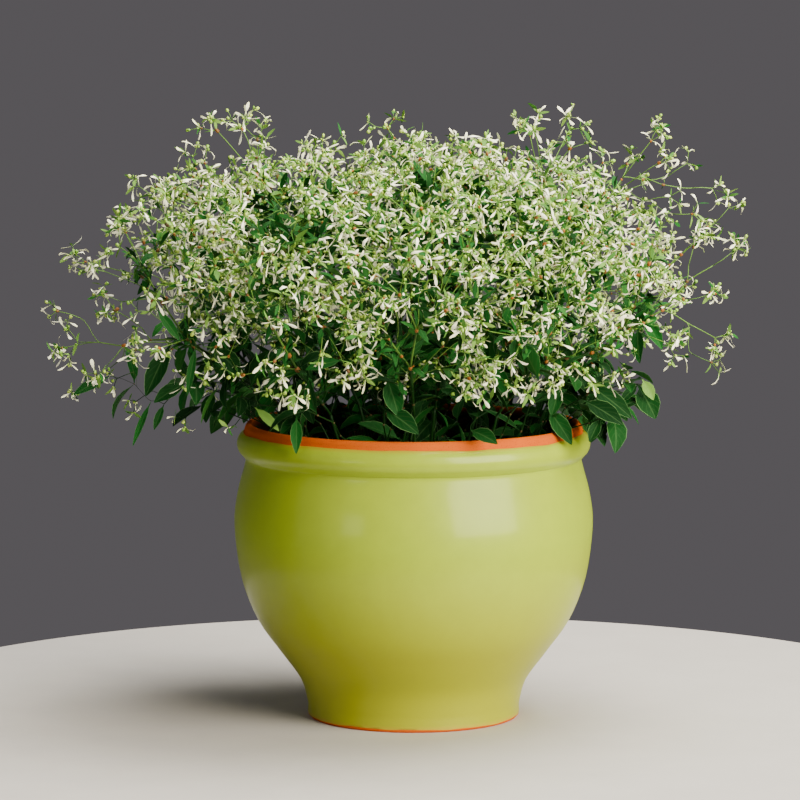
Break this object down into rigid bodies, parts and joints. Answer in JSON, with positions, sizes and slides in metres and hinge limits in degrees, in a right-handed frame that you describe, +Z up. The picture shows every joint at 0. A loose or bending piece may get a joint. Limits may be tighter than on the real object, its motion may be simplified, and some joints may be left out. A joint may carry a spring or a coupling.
{
  "type": "potted euphorbia",
  "caption": "Potted euphorbia: thin forking stems with small leaves and clouds of little white bracts, in a round yellow-green glazed terracotta pot with a rolled rim.",
  "frame": {"origin": "centre of the pot's flat foot, at the height it stands on", "axes": "+Z up along the pot's axis, +X to the right in the picture and along the plant's widest spread"},
  "size_m": [0.3579, 0.3222, 0.3064],
  "materials": {
    "yellow_green_glaze": "gloss",
    "bare_terracotta": "matte",
    "potting_soil": "matte",
    "foliage": "satin",
    "green_stem": "satin",
    "leaf": "satin",
    "white_bract": "satin",
    "seed_capsule": "satin",
    "stem_joint": "satin"
  },
  "bodies": {
    "root": {"pot": "yellow_green_glaze", "potting_soil": "potting_soil", "euphorbia_stem_01": "foliage", "euphorbia_stem_02": "foliage", "euphorbia_stem_03": "foliage", "euphorbia_stem_04": "foliage", "euphorbia_stem_05": "foliage", "euphorbia_stem_06": "foliage", "euphorbia_stem_07": "foliage", "euphorbia_stem_08": "foliage", "euphorbia_stem_09": "foliage", "euphorbia_stem_10": "foliage", "euphorbia_stem_11": "foliage", "euphorbia_stem_12": "foliage", "euphorbia_stem_13": "foliage", "euphorbia_stem_14": "foliage", "euphorbia_stem_15": "foliage", "euphorbia_stem_16": "foliage"}
  },
  "joints": []
}
